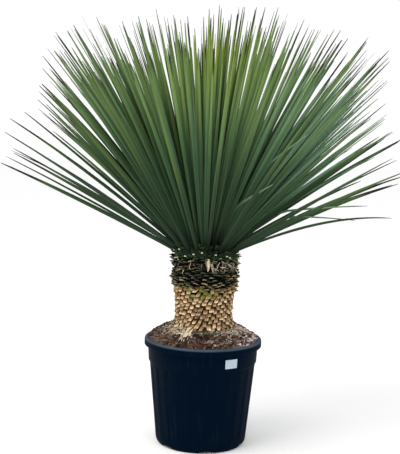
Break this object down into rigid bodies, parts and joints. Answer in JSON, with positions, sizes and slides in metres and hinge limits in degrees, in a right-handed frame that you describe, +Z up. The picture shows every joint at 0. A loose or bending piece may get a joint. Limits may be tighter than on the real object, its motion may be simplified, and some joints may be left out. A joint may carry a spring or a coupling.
{
  "type": "potted beaked yucca",
  "caption": "Beaked yucca with a round head of long narrow leaves on a short scaly trunk, in a black nursery pot.",
  "frame": {"origin": "centre of the pot's underside, on the plant's axis", "axes": "+Z up along the trunk, the label is on the right of the front, which faces -Y"},
  "size_m": [1.2349, 1.2433, 1.3845],
  "materials": {
    "pot": "black moulded plastic, satin",
    "label": "blank white sticker",
    "soil": "red-brown bark and peat mix, matte",
    "trunk": "dry tan leaf scars, matte",
    "old_leaf_bases": "weathered dark leaf bases, matte",
    "leaves": "stiff grey-green leaves, satin"
  },
  "bodies": {
    "root": {"pot": "pot", "label": "label", "soil": "soil", "trunk": "trunk", "old_leaf_bases": "old_leaf_bases", "leaf_crown": "leaves"}
  },
  "joints": []
}
